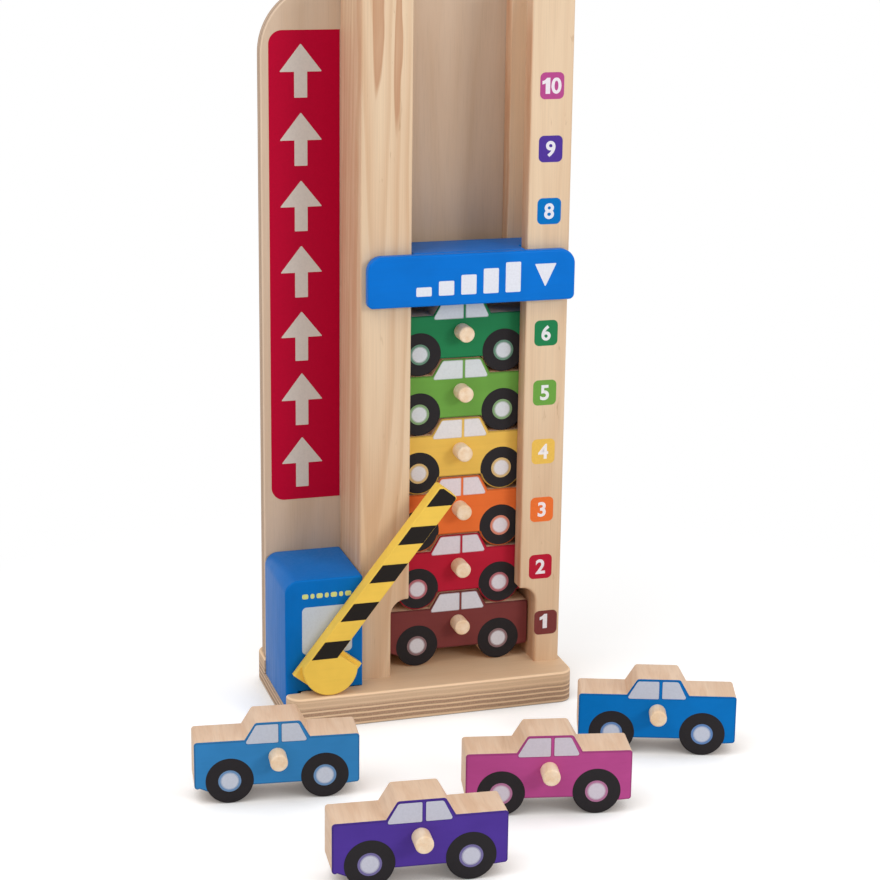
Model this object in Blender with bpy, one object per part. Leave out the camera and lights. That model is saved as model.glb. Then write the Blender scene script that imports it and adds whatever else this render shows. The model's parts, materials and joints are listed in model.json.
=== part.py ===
"""Wooden stacking garage: a shaft for ten block cars, a level slider, a booth and a barrier.

Metres, +Z up. The front faces -Y. The origin is the centre of the base board's underside.
"""

import math

import bmesh
import bpy
from mathutils import Matrix, Vector

# Gaps
GLUE_GAP = 0.0003        # glue line or seat between two pieces that touch
SLIDE_GAP = 0.0004       # level sign to the posts, and barrier to the booth
DOWEL_GAP = 0.00015      # all round a dowel in its blind hole
PIVOT_GAP = 0.00025      # all round the dowel that the barrier turns on

# Cars
CAR_LENGTH = 0.0840
CAR_THICK = 0.0225
CAR_HOOD_H = 0.0337      # wheel bottom to hood and boot
CAR_CABIN_H = 0.0089     # roof above the hood
CAR_SILL_H = 0.0092      # wheel bottom to the body between the wheels
CAR_BUMPER_H = 0.0068    # wheel bottom to the body outside the wheels
CAR_CORNER_R = 0.0016
CAR_CHAMFER = 0.0006
WHEEL_R = 0.0122
WHEEL_SPACING = 0.0484
WINDSCREEN_FOOT_X = -0.0165
WINDSCREEN_TOP_X = -0.0110
REAR_SCREEN_TOP_X = 0.0118
REAR_SCREEN_FOOT_X = 0.0168
PEG_R = 0.0045
PEG_OUT = 0.0095         # peg in front of the car's face
PEG_IN = 0.0110          # peg inside the car
PEG_HEIGHT = 0.0242      # peg's axis above the wheel bottom
PEG_EDGE = 0.0010
STACK_GAP = 0.0003       # wheels to the hood of the car below

# Shaft
LEVELS = 10
CARS_IN_SHAFT = 6
CAR_SIDE_GAP = 0.0009    # car's end to the groove's bottom
CAR_FRONT_GAP = 0.0010   # car's face to the front lip
CAR_BACK_GAP = 0.0009    # car's back to the rear lip
CAR_SHIFT = -0.0005      # stacked cars stand this far from the middle of their play, to the left
FRONT_LIP_T = 0.0096
REAR_LIP_T = 0.0100
LIP_REACH = 0.0102       # how far the lips reach over the groove
LEFT_WALL_T = 0.0182     # groove's bottom to the left post's outside
RIGHT_WALL_T = 0.0140
TOP_MARGIN = 0.0042      # post above the slider when all ten cars are in
DOORWAY_HEADROOM = 0.0110
DOORWAY_R = 0.0110
POST_EDGE = 0.0010

# Level slider
LEVEL_H = 0.0280
LEVEL_SIGN_T = 0.0060
LEVEL_SIGN_OVERHANG = 0.0016  # past the outside of the narrower post
LEVEL_SIGN_TOP_R = 0.0068
LEVEL_SIGN_FOOT_R = 0.0023
LEVEL_NECK_GAP = 0.0009  # neck of the block to the lips
LEVEL_EDGE = 0.0007
LEVEL_DOWEL_R = 0.0030
LEVEL_DOWEL_SPACING = 0.0360
LEVEL_DOWEL_IN_SIGN = 0.0036
LEVEL_DOWEL_IN_BLOCK = 0.0120

# Base board
BASE_T = 0.0182
BASE_FRONT_STEP = 0.0195  # base in front of the posts
BASE_BACK_STEP = 0.0132   # base behind the back panel
BASE_LEFT_STEP = 0.0006   # base past the panel and the booth
BASE_RIGHT_STEP = 0.0028  # base past the right post
BASE_CORNER_R = 0.0080
BASE_EDGE = 0.0008

# Back panel
PANEL_T = 0.0090
PANEL_CORNER_R = 0.0370
PANEL_SMALL_R = 0.0020
PANEL_EDGE = 0.0008

# Ticket booth
BOOTH_W = 0.0437
BOOTH_H = 0.0645
BOOTH_PROUD = 0.0078     # booth in front of the posts
BOOTH_CORNER_R = 0.0075
BOOTH_SMALL_R = 0.0012
BOOTH_EDGE = 0.0009
RABBET_W = 0.0080        # step cut in the base's left edge for the booth
RABBET_H = 0.0092
RABBET_FRONT_GAP = 0.0010  # booth's front to the end of the step
RABBET_CORNER_R = 0.0035

# Barrier
HEAD_R = 0.0152          # pivot to the flats of the head, and the disc's radius
HEAD_TOP = 0.0110        # pivot to the shoulder of the backing's head
DISC_TOP = 0.0091        # pivot to the shoulder cut in the front's disc
ARM_LENGTH = 0.1170      # pivot to tip
ARM_W = 0.0123
ARM_OFFSET = 0.0131      # pivot to the arm's upper edge
ARM_LAYER_T = 0.0047     # each of the barrier's two glued layers
ARM_ANGLE = 52.0         # degrees above level at rest
ARM_TIP_R = 0.0014
ARM_EDGE = 0.0006
PIVOT_SIDE = 0.0013      # pivot to the right of the booth's centre
PIVOT_R = 0.0032
PIVOT_IN_BOOTH = 0.0160
PIVOT_IN_ARM = 0.0028

# Screws through the base board
SCREW_R = 0.0018
SCREW_HEAD_R = 0.0038
SCREW_HEAD_H = 0.0024
SCREW_LENGTH = 0.0350
SCREW_TIP = 0.0030
SCREW_GAP = 0.00025
SCREW_RECESS = 0.0002    # screw's head above the base board's underside
SCREW_INSET = 0.0120     # screw to the post's front or back face

# Where the loose cars stand: the middle of the painted face, along from the base's left end and
# ahead of its front, and the car's turn in degrees
CAR_07_ALONG = -0.0248
CAR_07_AHEAD = 0.0806
CAR_07_TURN = -6.8
CAR_08_ALONG = 0.1827
CAR_08_AHEAD = 0.0801
CAR_08_TURN = -18.8
CAR_09_ALONG = 0.0200
CAR_09_AHEAD = 0.1857
CAR_09_TURN = -5.2
CAR_10_ALONG = 0.1023
CAR_10_AHEAD = 0.1334
CAR_10_TURN = -11.8

ROUND_STEPS = 16

# Sizes that follow from the ones above
PITCH = CAR_HOOD_H + STACK_GAP
CAR_H = CAR_HOOD_H + CAR_CABIN_H
GROOVE_HALF = CAR_LENGTH / 2 + CAR_SIDE_GAP
SLOT_HALF = GROOVE_HALF - LIP_REACH
GROOVE_D = CAR_FRONT_GAP + CAR_THICK + CAR_BACK_GAP
POST_D = FRONT_LIP_T + GROOVE_D + REAR_LIP_T
LEFT_OUT = GROOVE_HALF + LEFT_WALL_T
RIGHT_OUT = GROOVE_HALF + RIGHT_WALL_T
BASE_W = BASE_LEFT_STEP + BOOTH_W + GLUE_GAP + LEFT_OUT + RIGHT_OUT + BASE_RIGHT_STEP
BASE_D = BASE_FRONT_STEP + POST_D + GLUE_GAP + PANEL_T + BASE_BACK_STEP
SHAFT_X = BASE_W / 2 - BASE_RIGHT_STEP - RIGHT_OUT
FRONT_Y = -BASE_D / 2 + BASE_FRONT_STEP
GROOVE_Y = FRONT_Y + FRONT_LIP_T
CAR_Y = GROOVE_Y + CAR_FRONT_GAP
POST_BACK_Y = FRONT_Y + POST_D
PANEL_Y = POST_BACK_Y + GLUE_GAP
SEAT_Z = BASE_T + GLUE_GAP
STACK_TOP = SEAT_Z + (CARS_IN_SHAFT - 1) * PITCH + CAR_H
TOP_Z = SEAT_Z + (LEVELS - 1) * PITCH + CAR_H + STACK_GAP + LEVEL_H + TOP_MARGIN
LEVEL_Z = STACK_TOP + STACK_GAP
LEFT_X = -BASE_W / 2 + BASE_LEFT_STEP
BOOTH_RIGHT_X = LEFT_X + BOOTH_W
BOOTH_Y = FRONT_Y - BOOTH_PROUD
PIVOT_X = LEFT_X + BOOTH_W / 2 + PIVOT_SIDE
PIVOT_Z = SEAT_Z + HEAD_R
ARM_BACK_Y = BOOTH_Y - SLIDE_GAP
ARM_MID_Y = ARM_BACK_Y - ARM_LAYER_T
ARM_FRONT_Y = ARM_MID_Y - GLUE_GAP - ARM_LAYER_T

LOOSE_CARS = {
    7: (CAR_07_ALONG, CAR_07_AHEAD, CAR_07_TURN),
    8: (CAR_08_ALONG, CAR_08_AHEAD, CAR_08_TURN),
    9: (CAR_09_ALONG, CAR_09_AHEAD, CAR_09_TURN),
    10: (CAR_10_ALONG, CAR_10_AHEAD, CAR_10_TURN),
}

CAR_COLOURS = {
    1: ("maroon", (0.160, 0.035, 0.038)),
    2: ("red", (0.434, 0.014, 0.040)),
    3: ("orange", (0.693, 0.144, 0.042)),
    4: ("yellow", (0.716, 0.445, 0.077)),
    5: ("light_green", (0.135, 0.342, 0.050)),
    6: ("dark_green", (0.024, 0.212, 0.091)),
    7: ("light_blue", (0.045, 0.205, 0.463)),
    8: ("blue", (0.000, 0.138, 0.434)),
    9: ("purple", (0.090, 0.030, 0.300)),
    10: ("magenta", (0.445, 0.053, 0.220)),
}


def clear_scene():
    for obj in list(bpy.data.objects):
        bpy.data.objects.remove(obj, do_unlink=True)


def material(name, colour, roughness=0.5):
    """A Principled BSDF of one colour, made once for each name."""
    found = bpy.data.materials.get(name)
    if found:
        return found
    made = bpy.data.materials.new(name)
    made.use_nodes = True
    shader = made.node_tree.nodes["Principled BSDF"]
    shader.inputs["Base Color"].default_value = (*colour, 1.0)
    shader.inputs["Roughness"].default_value = roughness
    shader.inputs["Metallic"].default_value = 0.0
    return made


def pine():
    return material("pine", (0.770, 0.565, 0.380), 0.55)


def birch_plywood():
    return material("birch_plywood", (0.610, 0.440, 0.300), 0.55)


def beech():
    return material("beech_dowel", (0.800, 0.600, 0.400), 0.5)


def lacquer(name, colour):
    return material(name + "_lacquer", colour, 0.35)


def arc(centre, radius, start, end, steps=ROUND_STEPS):
    """Points along an arc, its two ends included, angles in degrees."""
    return [
        (
            centre[0] + radius * math.cos(math.radians(start + (end - start) * i / steps)),
            centre[1] + radius * math.sin(math.radians(start + (end - start) * i / steps)),
        )
        for i in range(steps + 1)
    ]


def rounded_outline(corners, steps=4):
    """An anticlockwise outline from (x, y, radius) corners, each rounded by its radius."""
    points = []
    count = len(corners)
    for i, (x, y, radius) in enumerate(corners):
        here = Vector((x, y))
        if radius <= 0:
            points.append((x, y))
            continue
        back = (Vector(corners[i - 1][:2]) - here).normalized()
        ahead = (Vector(corners[(i + 1) % count][:2]) - here).normalized()
        half = back.angle(ahead) / 2
        centre = here + (back + ahead).normalized() * (radius / math.sin(half))
        first = here + back * (radius / math.tan(half)) - centre
        turn = back.angle_signed(ahead)
        sweep = math.copysign(math.pi - 2 * half, turn)
        for k in range(steps + 1):
            spot = Matrix.Rotation(sweep * k / steps, 2) @ first
            points.append(tuple(centre + spot))
    return points


def link(name, mesh_builder, finish):
    """A new object from a filled bmesh, with outward faces and one material."""
    bmesh.ops.recalc_face_normals(mesh_builder, faces=mesh_builder.faces)
    mesh = bpy.data.meshes.new(name)
    mesh_builder.to_mesh(mesh)
    mesh_builder.free()
    obj = bpy.data.objects.new(name, mesh)
    bpy.context.collection.objects.link(obj)
    if finish:
        mesh.materials.append(finish)
    return obj


def board(name, outline, low, high, axis, finish=None):
    """A flat outline extruded from low to high: along Y for (x, z) points, along Z for (x, y)."""
    made = bmesh.new()
    if axis == "Y":
        ring = [made.verts.new((x, low, z)) for x, z in outline]
        push = Vector((0.0, high - low, 0.0))
    else:
        ring = [made.verts.new((x, y, low)) for x, y in outline]
        push = Vector((0.0, 0.0, high - low))
    face = made.faces.new(ring)
    moved = bmesh.ops.extrude_face_region(made, geom=[face])["geom"]
    bmesh.ops.translate(made, vec=push, verts=[v for v in moved if isinstance(v, bmesh.types.BMVert)])
    return link(name, made, finish)


def turned(name, profile, centre, axis, finish=None, steps=ROUND_STEPS):
    """A profile of (radius, distance) points turned round Y or Z through centre."""
    made = bmesh.new()
    rings = []
    for radius, along in profile:
        ring = []
        for i in range(steps):
            angle = 2 * math.pi * (i + 0.5) / steps
            across = (radius * math.cos(angle), radius * math.sin(angle))
            if axis == "Y":
                spot = (across[0], along, across[1])
            else:
                spot = (across[0], across[1], along)
            ring.append(made.verts.new(Vector(centre) + Vector(spot)))
        rings.append(ring)
    made.faces.new(rings[0])
    made.faces.new(rings[-1])
    for lower, upper in zip(rings, rings[1:]):
        for i in range(steps):
            k = (i + 1) % steps
            made.faces.new((lower[i], lower[k], upper[k], upper[i]))
    return link(name, made, finish)


def soften(obj, width, segments=1):
    """Rounds the sharp edges of a piece."""
    bevel = obj.modifiers.new("softened_edges", "BEVEL")
    bevel.width = width
    bevel.segments = segments
    bevel.limit_method = "ANGLE"
    bevel.angle_limit = math.radians(40)


def cut(obj, cutter):
    """Takes the cutter's volume out of a piece, and hides the cutter."""
    boolean = obj.modifiers.new("cut_" + cutter.name, "BOOLEAN")
    boolean.operation = "DIFFERENCE"
    boolean.solver = "EXACT"
    boolean.object = cutter
    cutter.hide_render = True
    cutter.display_type = "WIRE"


def smooth(obj):
    obj.data.shade_smooth()
    obj.data.set_sharp_from_angle(angle=math.radians(35))


def screw_places():
    """(x, y) of each screw that comes up through the base board."""
    left_x = SHAFT_X - GROOVE_HALF - LEFT_WALL_T / 2
    right_x = SHAFT_X + GROOVE_HALF + RIGHT_WALL_T / 2
    booth_x = LEFT_X + BOOTH_W / 2
    ends = (("front", FRONT_Y + SCREW_INSET), ("rear", POST_BACK_Y - SCREW_INSET))
    return {
        side + "_" + end + "_screw": (x, y)
        for side, x in (("left_post", left_x), ("right_post", right_x), ("booth", booth_x))
        for end, y in ends
    }


def screw_hole(name, place, gap):
    """The bore of a screw with its countersink, open at the base board's underside."""
    x, y = place
    profile = [
        (SCREW_HEAD_R + gap, -SCREW_HEAD_H),
        (SCREW_HEAD_R + gap, gap),
        (SCREW_R + gap, SCREW_HEAD_H + gap),
        (SCREW_R + gap, SCREW_LENGTH + gap),
    ]
    return turned(name, profile, (x, y, 0.0), "Z")


def base_board():
    half_w, half_d = BASE_W / 2, BASE_D / 2
    corners = [
        (-half_w, -half_d, BASE_CORNER_R),
        (half_w, -half_d, BASE_CORNER_R),
        (half_w, half_d, BASE_CORNER_R),
        (-half_w, half_d, BASE_CORNER_R),
    ]
    obj = board("base_board", rounded_outline(corners, 10), 0.0, BASE_T, "Z", birch_plywood())
    soften(obj, BASE_EDGE, 2)
    front_y = BOOTH_Y - RABBET_FRONT_GAP
    turn = arc((-half_w + RABBET_CORNER_R, front_y - RABBET_CORNER_R), RABBET_CORNER_R, 180.0, 90.0, 6)
    rabbet = board(
        "cutter_rabbet",
        [(-half_w - RABBET_W, front_y - RABBET_CORNER_R)]
        + turn
        + [
            (LEFT_X + RABBET_W + GLUE_GAP, front_y),
            (LEFT_X + RABBET_W + GLUE_GAP, POST_BACK_Y),
            (-half_w - RABBET_W, POST_BACK_Y),
        ],
        BASE_T - RABBET_H,
        BASE_T + RABBET_H,
        "Z",
    )
    cut(obj, rabbet)
    for name, place in screw_places().items():
        cut(obj, screw_hole("cutter_base_" + name, place, SCREW_GAP))
    return obj


def back_panel():
    right_x = SHAFT_X + RIGHT_OUT
    corners = [
        (LEFT_X, SEAT_Z, PANEL_SMALL_R),
        (right_x, SEAT_Z, PANEL_SMALL_R),
        (right_x, TOP_Z, PANEL_SMALL_R),
        (LEFT_X, TOP_Z, PANEL_CORNER_R),
    ]
    outline = rounded_outline(corners, 8)
    obj = board("back_panel", outline, PANEL_Y, PANEL_Y + PANEL_T, "Y", birch_plywood())
    soften(obj, PANEL_EDGE, 2)
    return obj


def post(name, side, wall_t):
    """One side of the shaft: a post with a groove for the cars' ends and a doorway at level one."""
    inner = SHAFT_X + side * SLOT_HALF
    bottom = SHAFT_X + side * GROOVE_HALF
    outer = bottom + side * wall_t
    outline = [
        (outer, FRONT_Y),
        (inner, FRONT_Y),
        (inner, GROOVE_Y),
        (bottom, GROOVE_Y),
        (bottom, GROOVE_Y + GROOVE_D),
        (inner, GROOVE_Y + GROOVE_D),
        (inner, POST_BACK_Y),
        (outer, POST_BACK_Y),
    ]
    obj = board(name, outline, SEAT_Z, TOP_Z, "Z", pine())
    soften(obj, POST_EDGE, 2)
    head_z = SEAT_Z + CAR_HOOD_H + DOORWAY_HEADROOM
    low_z = SEAT_Z - POST_EDGE
    doorway = rounded_outline(
        [
            (SHAFT_X - GROOVE_HALF, low_z, 0.0),
            (SHAFT_X + GROOVE_HALF, low_z, 0.0),
            (SHAFT_X + GROOVE_HALF, head_z, DOORWAY_R),
            (SHAFT_X - GROOVE_HALF, head_z, DOORWAY_R),
        ],
        10,
    )
    middle = GROOVE_Y + GROOVE_D / 2
    cut(obj, board("cutter_doorway_" + name, doorway, FRONT_Y - FRONT_LIP_T, middle, "Y"))
    for screw, place in screw_places().items():
        if screw.startswith(name):
            cut(obj, screw_hole("cutter_post_" + screw, place, SCREW_GAP))
    return obj


def ticket_booth():
    back_y = PANEL_Y - GLUE_GAP
    skirt_z = BASE_T - RABBET_H + GLUE_GAP
    inner_x = LEFT_X + RABBET_W
    corners = [
        (LEFT_X, skirt_z, 0.0),
        (inner_x, skirt_z, 0.0),
        (inner_x, SEAT_Z, 0.0),
        (BOOTH_RIGHT_X, SEAT_Z, 0.0),
        (BOOTH_RIGHT_X, BASE_T + BOOTH_H, BOOTH_SMALL_R),
        (LEFT_X, BASE_T + BOOTH_H, BOOTH_CORNER_R),
    ]
    blue = lacquer("booth_blue", (0.003, 0.130, 0.420))
    obj = board("ticket_booth", rounded_outline(corners, 7), BOOTH_Y, back_y, "Y", blue)
    soften(obj, BOOTH_EDGE, 2)
    bore = turned(
        "cutter_pivot_bore",
        [
            (PIVOT_R + PIVOT_GAP, -SLIDE_GAP),
            (PIVOT_R + PIVOT_GAP, PIVOT_IN_BOOTH + PIVOT_GAP),
        ],
        (PIVOT_X, BOOTH_Y, PIVOT_Z),
        "Y",
    )
    cut(obj, bore)
    for screw, place in screw_places().items():
        if screw.startswith("booth"):
            cut(obj, screw_hole("cutter_booth_" + screw, place, SCREW_GAP))
    return obj


def barrier_spot(along, across):
    """A point of the barrier at rest: along the arm from the pivot, and across it, down to the right."""
    tilt = math.radians(ARM_ANGLE)
    return (
        PIVOT_X + along * math.cos(tilt) + across * math.sin(tilt),
        PIVOT_Z + along * math.sin(tilt) - across * math.cos(tilt),
    )


def barrier_layer(name, flat_points, low_y, finish):
    """One board of the barrier, from (along, across) points that run anticlockwise as it is seen."""
    outline = [barrier_spot(along, across) for along, across in flat_points]
    obj = board(name, outline, low_y, low_y + ARM_LAYER_T, "Y", finish)
    soften(obj, ARM_EDGE, 1)
    return obj


def barrier():
    """The arm with its cut disc, the backing with its two stops, and the dowel they turn on."""
    yellow = lacquer("barrier_yellow", (0.810, 0.560, 0.090))
    lower = ARM_W - ARM_OFFSET
    tip = [
        (ARM_LENGTH - ARM_TIP_R, lower),
        (ARM_LENGTH, lower - ARM_TIP_R),
        (ARM_LENGTH, -ARM_OFFSET + ARM_TIP_R),
        (ARM_LENGTH - ARM_TIP_R, -ARM_OFFSET),
    ]
    first = 180.0 + math.degrees(math.asin(ARM_OFFSET / HEAD_R))
    last = math.degrees(math.acos(DISC_TOP / HEAD_R))
    disc = arc((0.0, 0.0), HEAD_R, first, last, 24) + [(DISC_TOP, lower)]
    front = barrier_layer("barrier_arm", tip + disc, ARM_FRONT_Y, yellow)
    quarter = arc((0.0, 0.0), HEAD_R, 180.0, 90.0, 8)
    head = [(-HEAD_R, -ARM_OFFSET)] + quarter + [(HEAD_TOP, HEAD_R), (HEAD_TOP, lower)]
    backing = barrier_layer("barrier_backing", tip + head, ARM_MID_Y, yellow)
    pin_end = ARM_MID_Y - GLUE_GAP - PIVOT_IN_ARM
    bore = turned(
        "cutter_barrier_bore",
        [(PIVOT_R + DOWEL_GAP, pin_end - DOWEL_GAP), (PIVOT_R + DOWEL_GAP, ARM_BACK_Y + SLIDE_GAP)],
        (PIVOT_X, 0.0, PIVOT_Z),
        "Y",
    )
    cut(front, bore)
    cut(backing, bore)
    pin = turned(
        "barrier_pivot_dowel",
        [(PIVOT_R, pin_end), (PIVOT_R, BOOTH_Y + PIVOT_IN_BOOTH)],
        (PIVOT_X, 0.0, PIVOT_Z),
        "Y",
        beech(),
    )
    smooth(pin)
    pieces = (front, backing, pin)
    hinge = bpy.data.objects.new("barrier_hinge", None)
    bpy.context.collection.objects.link(hinge)
    hinge.location = (PIVOT_X, ARM_BACK_Y, PIVOT_Z)
    bpy.context.view_layer.update()
    for piece in pieces:
        piece.parent = hinge
        piece.matrix_parent_inverse = hinge.matrix_world.inverted()


def level_slider():
    """The sign board in front of the posts and the block that runs in the grooves behind it."""
    blue = lacquer("level_blue", (0.000, 0.165, 0.610))
    sign_back = FRONT_Y - SLIDE_GAP
    sign_half = RIGHT_OUT + LEVEL_SIGN_OVERHANG
    top_z = LEVEL_Z + LEVEL_H
    corners = [
        (SHAFT_X - sign_half, LEVEL_Z, LEVEL_SIGN_FOOT_R),
        (SHAFT_X + sign_half, LEVEL_Z, LEVEL_SIGN_FOOT_R),
        (SHAFT_X + sign_half, top_z, LEVEL_SIGN_TOP_R),
        (SHAFT_X - sign_half, top_z, LEVEL_SIGN_TOP_R),
    ]
    sign = board(
        "level_sign", rounded_outline(corners, 6), sign_back - LEVEL_SIGN_T, sign_back, "Y", blue
    )
    soften(sign, LEVEL_EDGE, 2)
    neck = SLOT_HALF - LEVEL_NECK_GAP
    wide = CAR_LENGTH / 2
    block_front = sign_back + GLUE_GAP
    outline = [
        (SHAFT_X - neck, block_front),
        (SHAFT_X + neck, block_front),
        (SHAFT_X + neck, CAR_Y),
        (SHAFT_X + wide, CAR_Y),
        (SHAFT_X + wide, CAR_Y + CAR_THICK),
        (SHAFT_X - wide, CAR_Y + CAR_THICK),
        (SHAFT_X - wide, CAR_Y),
        (SHAFT_X - neck, CAR_Y),
    ]
    block = board("level_block", outline, LEVEL_Z, top_z, "Z", blue)
    soften(block, LEVEL_EDGE, 1)
    first = sign_back - LEVEL_DOWEL_IN_SIGN
    last = block_front + LEVEL_DOWEL_IN_BLOCK
    for name, side in (("level_dowel_left", -1), ("level_dowel_right", 1)):
        centre = (SHAFT_X + side * LEVEL_DOWEL_SPACING / 2, 0.0, LEVEL_Z + LEVEL_H / 2)
        radius = LEVEL_DOWEL_R + DOWEL_GAP
        bore = turned(
            "cutter_" + name, [(radius, first - DOWEL_GAP), (radius, last + DOWEL_GAP)], centre, "Y"
        )
        cut(sign, bore)
        cut(block, bore)
        smooth(turned(name, [(LEVEL_DOWEL_R, first), (LEVEL_DOWEL_R, last)], centre, "Y", beech()))


def car_outline():
    """A car's side view round its own middle, wheel bottoms at zero, anticlockwise."""
    end = CAR_LENGTH / 2
    outside = math.degrees(math.acos((WHEEL_R - CAR_BUMPER_H) / WHEEL_R))
    inside = math.degrees(math.acos((WHEEL_R - CAR_SILL_H) / WHEEL_R))
    left = arc((-WHEEL_SPACING / 2, WHEEL_R), WHEEL_R, 270 - outside, 270 + inside, 12)
    right = arc((WHEEL_SPACING / 2, WHEEL_R), WHEEL_R, 270 - inside, 270 + outside, 12)
    wheels = [(x, z, 0.0) for x, z in left + right]
    body = [
        (end, CAR_BUMPER_H, CAR_CORNER_R),
        (end, CAR_HOOD_H, CAR_CORNER_R),
        (REAR_SCREEN_FOOT_X, CAR_HOOD_H, 0.0),
        (REAR_SCREEN_TOP_X, CAR_H, CAR_CORNER_R),
        (WINDSCREEN_TOP_X, CAR_H, CAR_CORNER_R),
        (WINDSCREEN_FOOT_X, CAR_HOOD_H, 0.0),
        (-end, CAR_HOOD_H, CAR_CORNER_R),
        (-end, CAR_BUMPER_H, CAR_CORNER_R),
    ]
    return rounded_outline(wheels + body, 2)


def car(number, place, turn):
    """A block car and the peg that it is held by, its painted face in the plane y = 0 of the car."""
    colour_name, colour = CAR_COLOURS[number]
    name = "car_%02d" % number
    body = board(name + "_body", car_outline(), 0.0, CAR_THICK, "Y", lacquer(colour_name, colour))
    soften(body, CAR_CHAMFER, 1)
    axis = (0.0, 0.0, PEG_HEIGHT)
    radius = PEG_R + DOWEL_GAP
    bore = turned(
        "cutter_" + name, [(radius, -PEG_OUT), (radius, PEG_IN + DOWEL_GAP)], axis, "Y"
    )
    cut(body, bore)
    profile = [(PEG_R - PEG_EDGE, -PEG_OUT), (PEG_R, -PEG_OUT + PEG_EDGE), (PEG_R, PEG_IN)]
    peg = turned(name + "_peg", profile, axis, "Y", beech())
    smooth(peg)
    bore.parent = body
    peg.parent = body
    body.location = place
    body.rotation_euler = (0.0, 0.0, math.radians(turn))


def cars():
    for number in range(1, LEVELS + 1):
        if number <= CARS_IN_SHAFT:
            car(number, (SHAFT_X + CAR_SHIFT, CAR_Y, SEAT_Z + (number - 1) * PITCH), 0.0)
        else:
            along, ahead, turn = LOOSE_CARS[number]
            car(number, (-BASE_W / 2 + along, -BASE_D / 2 - ahead, 0.0), turn)


def screws():
    steel = material("zinc_plated_steel", (0.500, 0.500, 0.480), 0.35)
    for name, (x, y) in screw_places().items():
        profile = [
            (SCREW_HEAD_R, SCREW_RECESS),
            (SCREW_R, SCREW_HEAD_H),
            (SCREW_R, SCREW_LENGTH - SCREW_TIP),
            (SCREW_R / 4, SCREW_LENGTH),
        ]
        smooth(turned(name, profile, (x, y, 0.0), "Z", steel))


def main():
    clear_scene()
    base_board()
    back_panel()
    post("left_post", -1, LEFT_WALL_T)
    post("right_post", 1, RIGHT_WALL_T)
    ticket_booth()
    barrier()
    level_slider()
    cars()
    screws()


main()
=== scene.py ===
"""Looks of a wooden stacking garage: bare boards, painted boards, printed cars, numbers and signs."""

import functools
import json
import math

import bmesh
import bpy
import numpy as np
from bpy.props import FloatProperty, FloatVectorProperty, PointerProperty
from mathutils import Matrix, Vector


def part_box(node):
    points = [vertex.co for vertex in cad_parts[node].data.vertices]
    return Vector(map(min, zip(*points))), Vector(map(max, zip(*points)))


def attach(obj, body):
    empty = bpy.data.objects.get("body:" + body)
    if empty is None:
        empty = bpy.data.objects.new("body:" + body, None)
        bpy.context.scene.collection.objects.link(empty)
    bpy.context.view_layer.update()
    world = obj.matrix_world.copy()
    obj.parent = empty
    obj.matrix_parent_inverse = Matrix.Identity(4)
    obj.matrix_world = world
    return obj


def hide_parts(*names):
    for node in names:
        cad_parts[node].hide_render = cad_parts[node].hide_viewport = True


bl_info = {
    "name": "Wooden Stacking Garage",
    "version": (1, 0, 0),
    "blender": (4, 5, 0),
    "location": "3D View > Sidebar > Garage",
    "description": "Finishes the boards, cars, signs and barrier of a wooden stacking garage",
    "category": "Object",
}

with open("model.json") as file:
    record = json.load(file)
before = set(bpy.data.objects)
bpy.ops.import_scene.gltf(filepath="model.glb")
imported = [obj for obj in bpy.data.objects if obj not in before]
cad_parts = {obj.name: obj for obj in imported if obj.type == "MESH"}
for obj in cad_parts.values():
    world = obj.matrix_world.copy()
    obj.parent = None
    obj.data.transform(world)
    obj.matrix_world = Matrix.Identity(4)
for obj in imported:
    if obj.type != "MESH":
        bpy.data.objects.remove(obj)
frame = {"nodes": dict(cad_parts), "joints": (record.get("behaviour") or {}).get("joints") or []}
MM = 0.001
FILM = 0.05 * MM          # how proud printed ink stands, so that it never lies in the wood's own plane
ROOT = 0.2 * MM           # how far an ink's film reaches into the wood behind it
LEVEL = 34 * MM           # from one car of the stack to the next, and so from one number to the next
PEG_OUT = 9.5 * MM        # how far a peg stands out of its car's painted face
CARS = range(1, 11)
STACKED = range(1, 7)
X, Y, Z = range(3)

# Where the solids stand, as (lowest corner, highest corner)
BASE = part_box("base_board")
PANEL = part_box("back_panel")
LEFT_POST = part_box("left_post")
RIGHT_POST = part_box("right_post")
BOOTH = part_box("ticket_booth")
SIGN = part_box("level_sign")
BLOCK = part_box("level_block")
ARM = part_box("barrier_arm")
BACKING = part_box("barrier_backing")
PIVOT = next(j for j in frame["joints"] if j["name"] == "barrier_hinge")["pos_m"]

# How two colours are laid over each other: inputs 0, 6 and 7 are the share, the lower and the upper one
MIX = {"out": 2, "data_type": "RGBA"}
MULTIPLY = {"out": 2, "data_type": "RGBA", "blend_type": "MULTIPLY"}
# What every colour that a user can change has
COLOUR = {"subtype": "COLOR", "min": 0, "max": 1}


def linear(text):
    """Linear colour from an sRGB hex value."""
    value = np.array([int(text[i:i + 2], 16) for i in (1, 3, 5)]) / 255
    bright = np.where(value <= 0.04045, value / 12.92, ((value + 0.055) / 1.055) ** 2.4)
    return tuple(float(v) for v in bright)


def tint(colour, share, other=(0, 0, 0), rest=0.0):
    """One share of a colour and another share of a second one, added up."""
    return tuple(share * v + rest * w for v, w in zip(colour, other))


CAR_COLOURS = {
    1: "#7b3c3b", 2: "#b91d36", 3: "#ec7335", 4: "#ebbe58", 5: "#6da246",
    6: "#25804f", 7: "#3583bf", 8: "#0072c0", 9: "#503696", 10: "#b74b8c",
}
CAR_NAMES = {
    1: "maroon", 2: "red", 3: "orange", 4: "yellow", 5: "light_green",
    6: "dark_green", 7: "light_blue", 8: "blue", 9: "purple", 10: "magenta",
}


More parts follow.
